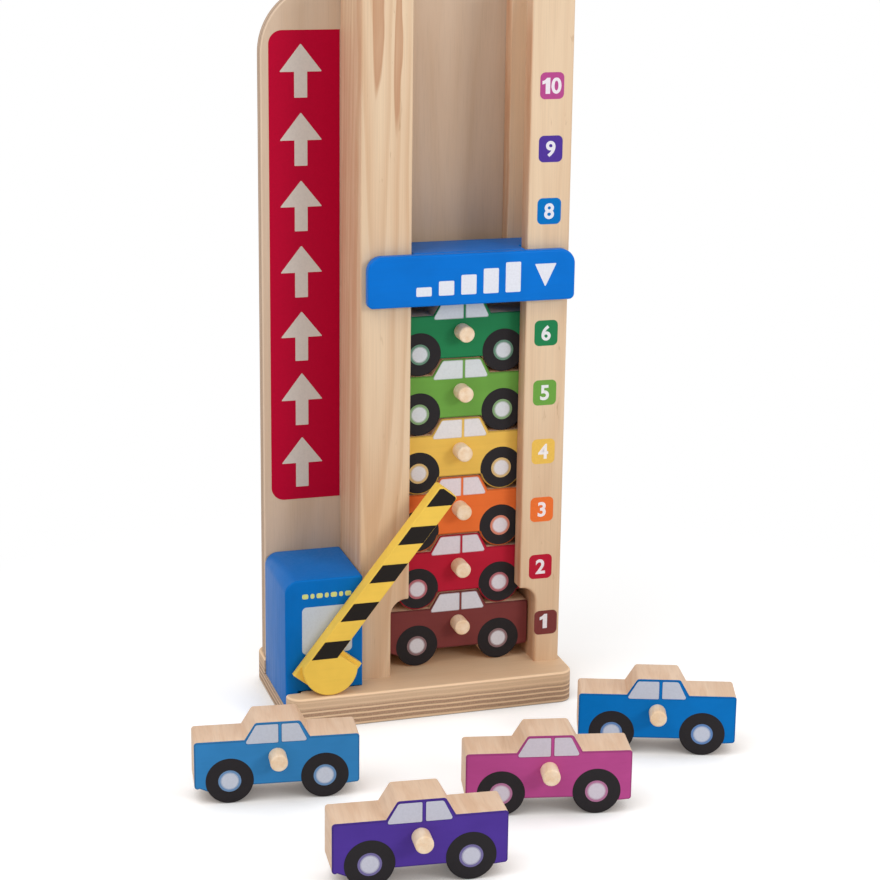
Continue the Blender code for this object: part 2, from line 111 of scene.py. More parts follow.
class GarageWood(bpy.types.PropertyGroup):
    pine_pale: FloatVectorProperty(
        name="Pine", description="Early wood of the pine posts", default=linear("#e6caa9"), **COLOUR)
    pine_dark: FloatVectorProperty(
        name="Pine rings", description="Late wood of the pine posts", default=linear("#c4936a"), **COLOUR)
    birch: FloatVectorProperty(
        name="Birch", description="Face veneer of the base board", default=linear("#e3c4a2"), **COLOUR)
    base_ply: FloatProperty(
        name="Base plies", description="Two veneers of the base board, one along it and one across",
        default=2.93 * MM, min=1 * MM, max=6 * MM, unit="LENGTH")
    panel_ply: FloatProperty(
        name="Panel plies", description="Two veneers of the back panel, one along it and one across",
        default=3.6 * MM, min=1 * MM, max=6 * MM, unit="LENGTH")
    board_edge: FloatProperty(
        name="Board edge", description="Radius sanded on the base board's edges", default=1.3 * MM,
        min=0.3 * MM, max=2 * MM, unit="LENGTH")
    ring_spacing: FloatProperty(
        name="Ring spacing", description="Distance between the pine's growth rings", default=5.0 * MM,
        min=1 * MM, max=8 * MM, unit="LENGTH")


class GaragePaint(bpy.types.PropertyGroup):
    booth: FloatVectorProperty(
        name="Booth", description="Paint of the ticket booth", default=linear("#006dc0"), **COLOUR)
    slider: FloatVectorProperty(
        name="Level slider", description="Paint of the level slider", default=linear("#0072d2"), **COLOUR)
    barrier: FloatVectorProperty(
        name="Barrier", description="Paint of the barrier", default=linear("#f8ce58"), **COLOUR)
    stripes: FloatVectorProperty(
        name="Stripes", description="Ink of the barrier's stripes", default=linear("#272321"), **COLOUR)
    back_sign: FloatVectorProperty(
        name="Back sign", description="Ink of the tall field on the back panel",
        default=linear("#b4002e"), **COLOUR)
    glass: FloatVectorProperty(
        name="Booth window", description="Ink of the booth's window", default=linear("#c1cad6"), **COLOUR)


class GarageCarSizes(bpy.types.PropertyGroup):
    wheel_spacing: FloatProperty(
        name="Wheel spacing", description="Distance between the two printed wheels",
        default=48.4 * MM, unit="LENGTH")
    tyre_radius: FloatProperty(
        name="Tyre", description="Radius of a printed tyre", default=12.2 * MM, unit="LENGTH")
    ring_radius: FloatProperty(
        name="Wheel ring", description="Radius of the tinted ring round a hub",
        default=5.8 * MM, unit="LENGTH")
    hub_radius: FloatProperty(
        name="Hub", description="Radius of a printed hub", default=4.1 * MM, unit="LENGTH")
    peg_radius: FloatProperty(
        name="Peg", description="Radius of a peg", default=4.5 * MM, unit="LENGTH")
    edge: FloatProperty(
        name="Car edge", description="Radius sanded on a car's edges", default=0.7 * MM, unit="LENGTH")


def unit(vectors):
    """The same directions, each with length one."""
    return vectors / np.linalg.norm(vectors, axis=-1, keepdims=True)


def rounded(corners, steps=10):
    """Outline of an anticlockwise polygon of (u, v, radius) corners.

    The angle at each corner is halved; its arc is centred on that line at radius / sin(half),
    starts at radius / tan(half) before the corner and turns by 180 degrees less twice the half."""
    given = np.asarray(corners, float)
    spots, radius = given[:, :2], given[:, 2:]
    back = unit(np.roll(spots, 1, 0) - spots)
    ahead = unit(np.roll(spots, -1, 0) - spots)
    half = np.arccos(np.clip((back * ahead).sum(1, keepdims=True), -1, 1)) / 2
    first = spots + back * radius / np.tan(half)
    centre = spots + unit(back + ahead) * radius / np.sin(half)
    turn = np.sign(back[:, 1:] * ahead[:, :1] - back[:, :1] * ahead[:, 1:])
    angle = turn * (math.pi - 2 * half) * np.linspace(0, 1, steps + 1)
    du, dv = (first - centre)[:, :1], (first - centre)[:, 1:]
    ring = np.dstack([
        centre[:, :1] + du * np.cos(angle) - dv * np.sin(angle),
        centre[:, 1:] + du * np.sin(angle) + dv * np.cos(angle),
    ]).reshape(-1, 2)
    return ring[np.linalg.norm(np.roll(ring, -1, 0) - ring, axis=1) > 1e-7]


def box_corners(left, low, right, high, radii):
    """Four corners, anticlockwise from the lower left, with one radius or a radius each."""
    spots = ((left, low), (right, low), (right, high), (left, high))
    return [(u, v, r) for (u, v), r in zip(spots, np.broadcast_to(radii, 4))]


def arc(centre, radius, angle):
    """Points of a circle at the given angles: the centre, plus the radius times cosine and sine."""
    return np.stack([centre[0] + radius * np.cos(angle), centre[1] + radius * np.sin(angle)], 1)


def circle(centre, radius, steps):
    """Points at equal angles on a circle."""
    return arc(centre, radius, np.linspace(0, 2 * math.pi, steps, endpoint=False))


def skin(levels, around):
    """Faces over rings of points that follow each other: point j of ring i is number i * around + j.
    A quad joins each two neighbours to the next ring, and the first and last ring close the ends."""
    i, j = np.meshgrid(np.arange(levels - 1), np.arange(around), indexing="ij")
    k = (j + 1) % around
    quads = np.stack([i * around + j, i * around + k, (i + 1) * around + k, (i + 1) * around + j], -1)
    ring = np.arange(around)
    return quads.reshape(-1, 4), [ring[::-1], ring + (levels - 1) * around]


def slab(outline, low, high, axis=Y, edge=0.0, colour=0, front=None, rim=None, deep=None):
    """A board with sanded edges: its outline is carried from low to high along the axis.

    At a height h above either face it is drawn in along its mitred normals by
    edge * (1 - sin a), where h = edge * (1 - cos a), so each edge is a quarter circle.
    One more ring just inside keeps the shading of the flat face flat. edge is one radius, or one
    for each face, each a number or an array with one for every point of the outline. front is the
    material of the low face, rim that of its rounding, and deep that of single stretches of it."""
    steps, inside, sharpest = 4, 1.15, 0.2
    count = len(outline)
    before = unit(outline - np.roll(outline, 1, 0))
    after = unit(np.roll(outline, -1, 0) - outline)
    first = np.stack([before[:, 1], -before[:, 0]], 1)
    second = np.stack([after[:, 1], -after[:, 0]], 1)
    mitre = (first + second) / np.maximum(1 + (first * second).sum(1, keepdims=True), sharpest)
    a = np.linspace(0, math.pi / 2, steps + 1)[:, None]
    ends = []
    for radius in edge if isinstance(edge, tuple) else (edge, edge):
        radius = np.broadcast_to(radius, (1, count))
        if radius.any():
            ends.append((np.concatenate([radius * inside, radius * (1 - np.sin(a))]),
                         np.concatenate([radius * 0, radius * (1 - np.cos(a))])))
        else:
            ends.append((radius, radius))
    inward = np.concatenate([ends[0][0], ends[1][0][::-1]])
    tall = np.concatenate([low + ends[0][1], (high - ends[1][1])[::-1]])
    rings = outline[None] - mitre[None] * inward[..., None]
    u, v = rings[..., 0], rings[..., 1]
    points = np.dstack((u, tall, v) if axis == Y else (u, v, tall)).reshape(-1, 3)
    slots = np.full((len(tall) - 1, count), colour)
    if front is not None:
        slots[: steps + 1] = rim
        if deep is not None:
            slots[: steps + 1] = np.where(deep >= 0, deep, rim)[None]
    quads, caps = skin(len(tall), count)
    return points, quads, caps, [*slots.reshape(-1).tolist(), colour if front is None else front, colour]


def film(outline, face_y, colour, level=1):
    """Printed ink on a face that looks along -Y: a flat outline, proud of it by level films."""
    return slab(np.asarray(outline, float), face_y - FILM * level, face_y + ROOT, colour=colour)


def turned(profile, height, steps=40):
    """A turned pin along Y: each (radius, distance) of the profile is carried round a full circle."""
    angle = np.linspace(0, 2 * math.pi, steps, endpoint=False)
    points = np.dstack([profile[:, :1] * np.cos(angle), np.repeat(profile[:, 1:], steps, 1),
                        height + profile[:, :1] * np.sin(angle)]).reshape(-1, 3)
    quads, caps = skin(len(profile), steps)
    return points, quads, caps, [0] * (len(quads) + len(caps))


def figure_one(centre, height, face_y, colour):
    """A printed one: a heavy stem with a short flag, as fractions of its height."""
    points = np.array([(-0.05, -0.5), (0.25, -0.5), (0.25, 0.5), (0.04, 0.5), (-0.10, 0.36),
                       (-0.27, 0.29), (-0.27, 0.08), (-0.05, 0.15)])
    return film(np.asarray(centre) + points * height, face_y, colour, 2)


def numeral(text, centre, height, face_y, colour):
    """A printed figure from Blender's own typeface: each point less the middle of the figure's box,
    times the height over the box's, and its front and back where a film of two levels has them."""
    curve = bpy.data.curves.new("numeral", "FONT")
    curve.body = text
    # Every stroke is grown by 0.028 of the letter's size, which makes it bold
    curve.offset = 0.028
    curve.extrude = 0.05
    curve.resolution_u = 6
    holder = bpy.data.objects.new("numeral", curve)
    bpy.context.scene.collection.objects.link(holder)
    bpy.context.view_layer.update()
    mesh = bpy.data.meshes.new_from_object(holder.evaluated_get(bpy.context.evaluated_depsgraph_get()))
    bpy.data.objects.remove(holder)
    bpy.data.curves.remove(curve)
    points = corners_of(mesh)
    faces = [np.array(polygon.vertices) for polygon in mesh.polygons]
    bpy.data.meshes.remove(mesh)
    low, high = points.min(0), points.max(0)
    flat = (points - (low + high) / 2) * (height / (high[1] - low[1]))
    depth = np.where(flat[:, 2] > 0, face_y - 2 * FILM, face_y + ROOT)
    points = np.stack([centre[0] + flat[:, 0], depth, centre[1] + flat[:, 1]], 1)
    return points, np.empty((0, 4), int), faces, [colour] * len(faces)


def corners_of(mesh):
    """A mesh's vertices as rows of x, y and z."""
    flat = np.zeros(len(mesh.vertices) * 3)
    mesh.vertices.foreach_get("co", flat)
    return flat.reshape(-1, 3)


def piece(name, shapes, materials, body, replaces=(), turn=0.0, place=(0.0, 0.0, 0.0),
          shift=None):
    """One object from shapes of (points, quads, other faces, material numbers), turned about Z and
    put in place.

    shift stores each point's place in the piece before it was turned, moved by shift, as the
    attribute wood_place, so that a car's grain turns with the car and differs from the next one's."""
    faces, count = [], 0
    for spots, quads, others, _ in shapes:
        faces += (quads + count).tolist() + [(face + count).tolist() for face in others]
        count += len(spots)
    points = np.concatenate([shape[0] for shape in shapes])
    c, s = math.cos(turn), math.sin(turn)
    spin = np.array([[c, -s, 0.0], [s, c, 0.0], [0.0, 0.0, 1.0]])
    mesh = bpy.data.meshes.new(name)
    mesh.from_pydata((points @ spin.T + np.asarray(place)).tolist(), [], faces)
    for finish in materials:
        mesh.materials.append(finish)
    mesh.polygons.foreach_set("material_index", [number for shape in shapes for number in shape[3]])
    if shift is not None:
        stored = mesh.attributes.new("wood_place", "FLOAT_VECTOR", "POINT")
        stored.data.foreach_set("vector", (points + np.asarray(shift)).ravel())
    shell = bmesh.new()
    shell.from_mesh(mesh)
    bmesh.ops.remove_doubles(shell, verts=shell.verts, dist=1e-7)
    bmesh.ops.recalc_face_normals(shell, faces=shell.faces)
    shell.to_mesh(mesh)
    shell.free()
    mesh.shade_smooth()
    mesh.set_sharp_from_angle(angle=math.radians(32))
    obj = bpy.data.objects.new(name, mesh)
    bpy.context.scene.collection.objects.link(obj)
    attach(obj, body)
    if replaces:
        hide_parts(*replaces)
    return obj


def add(tree, kind, inputs=(), out=0, stops=(), **settings):
    """Adds a node, makes its settings, links or fills its inputs and sets the stops of its ramp.

    Inputs are in order, or keyed by name or number. A stop is (position, grey or colour). The output
    that out names or numbers is given back, so that one node can be written inside another."""
    made = tree.nodes.new("ShaderNode" + kind)
    for name, value in settings.items():
        setattr(made, name, value)
    for key, value in inputs.items() if isinstance(inputs, dict) else enumerate(inputs):
        socket = made.inputs[key]
        if isinstance(value, bpy.types.NodeSocket):
            tree.links.new(value, socket)
        else:
            socket.default_value = (*value, 1) if socket.type == "RGBA" else value
    if stops:
        marks = made.color_ramp.elements
        while len(marks) < len(stops):
            marks.new(0.5)
        for mark, (position, shade) in zip(marks, stops):
            mark.position = position
            mark.color = (shade,) * 3 + (1,) if isinstance(shade, (int, float)) else (*shade, 1)
    return made.outputs[out] if len(made.outputs) else None


def material(name):
    """A new material without nodes, and the function that adds them."""
    made = bpy.data.materials.new(name)
    made.use_nodes = True
    made.node_tree.nodes.clear()
    return made, functools.partial(add, made.node_tree)


def drawn_out(axis, share):
    """Scale that makes a pattern 1 / share times as long along one axis."""
    return tuple(share if k == axis else 1.0 for k in range(3))


def pine(name, pith, lean, strong, side, heartwood_and_shade, cores=()):
    """Plain-sawn pine, planed and sanded, no varnish: rings that lean a little from the board give
    long arches on its front and narrow lines on its sides.

    strong is how dark the late wood is on the front, side how much darker it is on the sides, and
    heartwood_and_shade how red the faces that look along -X are painted: painted shade on the faces
    turned away from the key lamp, laid in a heartwood-like pattern of patches. Each core, as (x, y,
    radius) about a pith like the first one's, is a ring that the saw cut open: a dark tongue with a sharp
    edge."""
    wood = bpy.context.scene.garage_wood
    pale, dark = tuple(wood.pine_pale), tuple(wood.pine_dark)
    made, node = material(name)
    spot = node("TexCoord", out="Object")
    upright = node("SeparateXYZ", (spot,), "Z")
    sideways = node("SeparateXYZ", (node("TexCoord", out="Normal"),), "X")
    # The saw's plane leans from the pith, and the trunk changes ten times more slowly along itself
    trunk = {"Vector": spot, "Scale": drawn_out(Z, 0.10), "Rotation": (lean, 0, 0)}
    # A wave has 20 * scale radians a metre, so one ring each 0.314 / scale
    rings = node("TexWave", {
        "Vector": node("Mapping", {**trunk, "Location": (*pith, 0)}), "Scale": 0.314 / wood.ring_spacing,
        "Distortion": 5.0, "Detail": 2.0, "Detail Scale": 0.9, "Detail Roughness": 0.5},
        "Fac", wave_type="RINGS", rings_direction="Z", wave_profile="SAW")
    late = node("ValToRGB", (rings,), stops=[
        (0.0, 0.0), (0.35, 0.05), (0.80, 1.0), (0.93, 0.7), (1.0, 0.0)])

    grain = {}
    # Width and length in mm, then detail, roughness, distortion and how far it leans sideways
    for use, wide, long, detail, rough, warp, askew in (
            ("waver", 11.1, 92.5, 2.0, 0.5, 0.0, 0.0),
            ("fibres", 0.714, 59.5, 3.0, 0.6, 0.0, 0.0),
            ("deeper", 23.8, 148.8, 2.0, 0.5, 0.4, 0.0),
            ("resin", 3.85, 19.25, 3.0, 0.6, 0.6, 0.10),
            ("heartwood_and_shade", 9.1, 70.0, 4.0, 0.6, 0.3, 0.0)):
        stretch = node("Mapping", {"Vector": spot, "Scale": drawn_out(Z, wide / long),
                                   "Rotation": (0, askew, 0)})
        grain[use] = node("TexNoise", {"Vector": stretch, "Scale": 1 / (wide * MM), "Detail": detail,
                                       "Roughness": rough, "Distortion": warp})

    # Tongues: the ring's middle wanders 4 mm either way with the grain, and its radius by 2 mm
    wander, swell = 0.004, 0.002
    tongue = 0.0
    for x, y, radius in cores:
        core = node("Mapping", {**trunk, "Location": (x - wander, y, 0)})
        bent = node("VectorMath", (grain["waver"], (2 * wander, 0, 0), core), operation="MULTIPLY_ADD")
        flat = node("VectorMath", (bent, (1, 1, 0)), operation="MULTIPLY")
        reach = node("VectorMath", (flat,), "Value", operation="LENGTH")
        reach = node("Math", (grain["waver"], 2 * swell, reach), operation="MULTIPLY_ADD")
        reach = node("Math", (reach, 0.5 / (radius + swell)), operation="MULTIPLY")
        ring = node("ValToRGB", (reach,), stops=[(0.22, 0.5), (0.42, 0.75), (0.49, 0.85), (0.54, 0.0)])
        tongue = node("Math", (tongue, ring), operation="MAXIMUM")

    # Painted shade: more of the deeper patches, and darker late wood, towards the foot, where the posts
    # get less light
    lower = node("Math", (upright, -0.8, 0.18), operation="MULTIPLY_ADD")
    patches_and_foot_shade = node("Math", (grain["deeper"], lower), operation="ADD")
    strength = node("ValToRGB", (patches_and_foot_shade,), stops=[(0.30, 0.35 * strong), (0.70, strong)])
    edgewise = node("Math", (sideways,), operation="ABSOLUTE")
    strength = node("Math", (edgewise, side, strength), operation="MULTIPLY_ADD")
    amount = node("Math", (late, strength), operation="MULTIPLY", use_clamp=True)
    # Painted shade: the faces that look along -X, turned away from the key lamp, are painted redder, in
    # heartwood-like patches
    left = node("Math", (sideways, -1.0), operation="MULTIPLY", use_clamp=True)
    red = node("ValToRGB", (grain["heartwood_and_shade"],), stops=[(0.36, 0.3 * heartwood_and_shade), (0.64, heartwood_and_shade)])
    colour = node("Mix", {0: amount, 6: pale, 7: dark}, **MIX)
    for share, over in (
            (node("ValToRGB", (patches_and_foot_shade,), stops=[(0.32, 0.0), (0.72, 0.55)]), tint(pale, 0.5, dark, 0.5)),
            (node("Math", (left, red), operation="MULTIPLY"), linear("#c68f6c")),
            (tongue, linear("#bd8b67")),
            (node("ValToRGB", (grain["resin"],), stops=[(0.66, 0.0), (0.76, 0.50)]), tint(dark, 0.7))):
        colour = node("Mix", {0: share, 6: colour, 7: over}, **MIX)
    pores = node("ValToRGB", (grain["fibres"],), stops=[(0.30, 0.80), (0.62, 1.0)])
    node("OutputMaterial", {"Surface": node("BsdfPrincipled", {
        "Base Color": node("Mix", {0: 0.40, 6: colour, 7: pores}, **MULTIPLY),
        "Roughness": node("ValToRGB", (grain["fibres"],), stops=[(0.3, 0.62), (0.7, 0.50)]),
        "Specular IOR Level": 0.35,
        "Normal": node("Bump", {"Height": grain["fibres"], "Distance": 0.05 * MM, "Strength": 0.35})})})
    return made


def plywood(name, low, thick, pair, across, along, veneer, plain):
    """Birch plywood, sanded: a quiet rotary-cut face, and on its edges the veneers turn by turn.

    pair is the thickness of two veneers, and plain the height, as a share of the board's thickness,
    from which its edge is so well sanded that they hardly show."""
    made, node = material(name)
    spot = node("TexCoord", out="Object")
    # The pores are wider than real ones, so that they show
    flame, pore, dot, wave = 20.8 * MM, 0.526 * MM, 0.769 * MM, 31.25 * MM
    # Flame figure ten times as long as it is wide, and pores thirty times
    figure = node("TexNoise", {
        "Vector": node("Mapping", {"Vector": spot, "Scale": drawn_out(along, 0.10)}),
        "Scale": 1 / flame, "Detail": 3.0, "Distortion": 1.2})
    pores = node("TexNoise", {
        "Vector": node("Mapping", {"Vector": spot, "Scale": drawn_out(along, 0.03)}),
        "Scale": 1 / pore, "Roughness": 0.6})
    warm = tuple(v * share for v, share in zip(veneer, (0.93, 0.89, 0.84)))
    flames = node("ValToRGB", (figure,), stops=[(0.35, 0.0), (0.68, 1.0)])
    face = node("Mix", {0: flames, 6: veneer, 7: warm}, **MIX)
    specks = node("ValToRGB", (pores,), stops=[(0.30, 0.80), (0.50, 1.0)])
    face = node("Mix", {0: 0.30, 6: face, 7: specks}, **MULTIPLY)
    # Veneers across the board show end grain: darker, with dots
    dots = node("TexNoise", {"Vector": spot, "Scale": 1 / dot, "Roughness": 0.7})
    cross = node("Mix", {0: node("ValToRGB", (dots,), stops=[(0.35, 0.0), (0.62, 1.0)]),
                         6: linear("#9b7a61"), 7: linear("#b39378")}, **MIX)
    # The veneers rise and fall by up to 1.2 mm in long waves
    height = node("SeparateXYZ", (spot,), across)
    depth = node("Math", (height, low), operation="SUBTRACT")
    wander = node("TexNoise", {"Vector": spot, "Scale": 1 / wave})
    depth = node("Math", (wander, 1.2 * MM, depth), operation="MULTIPLY_ADD")
    turn = node("Math", (node("Math", (depth, 1 / pair), operation="MULTIPLY"),), operation="FRACT")
    # A third of each pair is the pale veneer that runs along the board
    band = node("ValToRGB", (turn,), stops=[
        (0.0, 1.0), (0.42, 1.0), (0.49, 0.0), (0.76, 0.0), (0.84, 1.0), (1.0, 0.95)])
    share = node("Math", (depth, 1 / thick), operation="MULTIPLY")
    sanded = node("ValToRGB", (share,), stops=[(plain - 0.06, 0.0), (plain + 0.04, 0.78)])
    band = node("Mix", {0: sanded, 6: band, 7: (0.22, 0.22, 0.22)}, **MIX)
    # Edges only: on the board's two faces the normal points along its thickness
    facing = node("SeparateXYZ", (node("TexCoord", out="Normal"),), across)
    facing = node("Math", (facing,), operation="ABSOLUTE")
    edgewise = node("ValToRGB", (facing,), stops=[(0.55, 1.0), (0.90, 0.0)])
    band = node("Math", (band, edgewise), operation="MULTIPLY")
    # Painted highlight: the rounded edges are painted paler, for the light that they catch
    painted_edge_highlight = node("ValToRGB", (facing,), stops=[(0.10, 0.0), (0.40, 0.85), (0.85, 0.85), (0.99, 0.0)])
    edge_highlight_colour = tuple(min(v, 0.95) for v in tint(veneer, 1.24))
    colour = node("Mix", {0: band, 6: face, 7: cross}, **MIX)
    colour = node("Mix", {0: painted_edge_highlight, 6: colour, 7: edge_highlight_colour}, **MIX)
    grain = node("Mix", {0: band, 6: pores, 7: dots}, **MIX)
    node("OutputMaterial", {"Surface": node("BsdfPrincipled", {
        "Base Color": colour, "Roughness": 0.58, "Specular IOR Level": 0.35,
        "Normal": node("Bump", {"Height": grain, "Distance": 0.06 * MM, "Strength": 0.4})})})
    return made


def car_wood():
    """Rubberwood of the cars, sawn from a thick board across its grain and sanded: soft lines and
    short flecks that run from a car's painted face to its back."""
    made, node = material("rubberwood_sanded")
    spot = node("Attribute", out="Vector", attribute_name="wood_place")
    # Lines eight times as long as they are wide, and flecks twenty times
    line, fleck = 5.88 * MM, 0.667 * MM
    figure = node("TexNoise", {
        "Vector": node("Mapping", {"Vector": spot, "Scale": drawn_out(Y, 0.12)}),
        "Scale": 1 / line, "Detail": 3.0, "Roughness": 0.55, "Distortion": 0.8})
    flecks = node("TexNoise", {
        "Vector": node("Mapping", {"Vector": spot, "Scale": drawn_out(Y, 0.05)}),
        "Scale": 1 / fleck, "Roughness": 0.6})
    colour = node("Mix", {0: node("ValToRGB", (figure,), stops=[(0.32, 0.0), (0.70, 1.0)]),
                          6: linear("#e9ccb1"), 7: linear("#dcb899")}, **MIX)
    marks = node("ValToRGB", (flecks,), stops=[(0.28, 0.82), (0.52, 1.0)])
    node("OutputMaterial", {"Surface": node("BsdfPrincipled", {
        "Base Color": node("Mix", {0: 0.35, 6: colour, 7: marks}, **MULTIPLY),
        "Roughness": 0.55, "Specular IOR Level": 0.35,
        "Normal": node("Bump", {"Height": flecks, "Distance": 0.05 * MM, "Strength": 0.4})})})
    return made


def dowel_wood(turned_with_car):
    """Beech dowel, sanded: pale, with short darker flecks along the pin."""
    made, node = material("beech_peg" if turned_with_car else "beech_dowel")
    if turned_with_car:
        spot = node("Attribute", out="Vector", attribute_name="wood_place")
    else:
        spot = node("TexCoord", out="Object")
    # Flecks ten times as long as they are wide, and patches of another tone three times
    fleck, patch = 0.769 * MM, 3.85 * MM
    flecks = node("TexNoise", {
        "Vector": node("Mapping", {"Vector": spot, "Scale": drawn_out(Y, 0.10)}),
        "Scale": 1 / fleck, "Roughness": 0.6})
    tone = node("TexNoise", {
        "Vector": node("Mapping", {"Vector": spot, "Scale": drawn_out(Y, 0.3)}), "Scale": 1 / patch})
    colour = node("Mix", {0: node("ValToRGB", (tone,), stops=[(0.35, 0.0), (0.65, 1.0)]),
                          6: linear("#f4dcc0"), 7: linear("#ebcaa4")}, **MIX)
    marks = node("ValToRGB", (flecks,), stops=[(0.28, 0.76), (0.50, 1.0)])
    node("OutputMaterial", {"Surface": node("BsdfPrincipled", {
        "Base Color": node("Mix", {0: 0.35, 6: colour, 7: marks}, **MULTIPLY), "Roughness": 0.5,
        "Normal": node("Bump", {"Height": flecks, "Distance": 0.04 * MM, "Strength": 0.4})})})
    return made


def paint(name, colour, roughness, grain):
    """Water-based satin paint rolled on wood: even colour, a faint pull along the grain below it."""
    made, node = material(name)
    spot = node("TexCoord", out="Object")
    # Bundles of fibres below the paint, thicker and thinner paint in clouds, and orange peel
    bundle, cloud, peel = 1.92 * MM, 16.67 * MM, 0.833 * MM
    pull = node("TexNoise", {
        "Vector": node("Mapping", {"Vector": spot, "Scale": drawn_out(grain, 0.06)}),
        "Scale": 1 / bundle, "Detail": 3.0, "Roughness": 0.6})
    thick = node("TexNoise", {"Vector": spot, "Scale": 1 / cloud})
    mixed = node("Mix", {0: node("ValToRGB", (thick,), stops=[(0.35, 0.0), (0.70, 0.8)]),
                         6: colour, 7: tint(colour, 0.90)}, **MIX)
    fibres = node("ValToRGB", (pull,), stops=[(0.30, 0.86), (0.55, 1.0)])
    bumps = node("TexNoise", {"Vector": spot, "Scale": 1 / peel, "Detail": 1.0})
    node("OutputMaterial", {"Surface": node("BsdfPrincipled", {
        "Base Color": node("Mix", {0: 0.22, 6: mixed, 7: fibres}, **MULTIPLY),
        "Roughness": node("ValToRGB", (pull,), stops=[(0.3, roughness + 0.07), (0.7, roughness - 0.04)]),
        "Specular IOR Level": 0.09,
        "Normal": node("Bump", {"Height": node("Mix", {0: 0.5, 6: pull, 7: bumps}, **MIX),
                                "Distance": 0.03 * MM, "Strength": 0.35})})})
    return made


def ink(name, colour, roughness=0.42):
    """Screen-printed ink: even and thin, with a slight mottle of the dots it was laid down in."""
    made, node = material(name)
    dot = 1.11 * MM
    mottle = node("TexNoise", {"Vector": node("TexCoord", out="Object"), "Scale": 1 / dot})
    thin = node("ValToRGB", (mottle,), stops=[(0.35, 0.90), (0.6, 1.0)])
    node("OutputMaterial", {"Surface": node("BsdfPrincipled", {
        "Base Color": node("Mix", {0: 0.5, 6: colour, 7: thin}, **MULTIPLY),
        "Roughness": roughness, "Specular IOR Level": 0.07,
        "Normal": node("Bump", {"Height": mottle, "Distance": 0.02 * MM, "Strength": 0.25})})})
    return made


def zinc():
    """Zinc-plated steel of the screws: bright, with a fine cloudy passivation."""
    made, node = material("zinc_plated_steel")
    puff = 1.11 * MM
    cloud = node("TexNoise", {"Vector": node("TexCoord", out="Object"), "Scale": 1 / puff, "Detail": 3.0})
    colour = node("ValToRGB", (cloud,), stops=[(0.3, linear("#cececb")), (0.7, linear("#e1dfda"))])
    node("OutputMaterial", {"Surface": node("BsdfPrincipled", {
        "Base Color": colour, "Metallic": 1.0,
        "Roughness": node("ValToRGB", (cloud,), stops=[(0.3, 0.42), (0.7, 0.30)])})})
    return made


def dress(name, finish):
    """Gives a CAD node its detailed material."""
    mesh = frame["nodes"][name].data
    mesh.materials.clear()
    mesh.materials.append(finish)


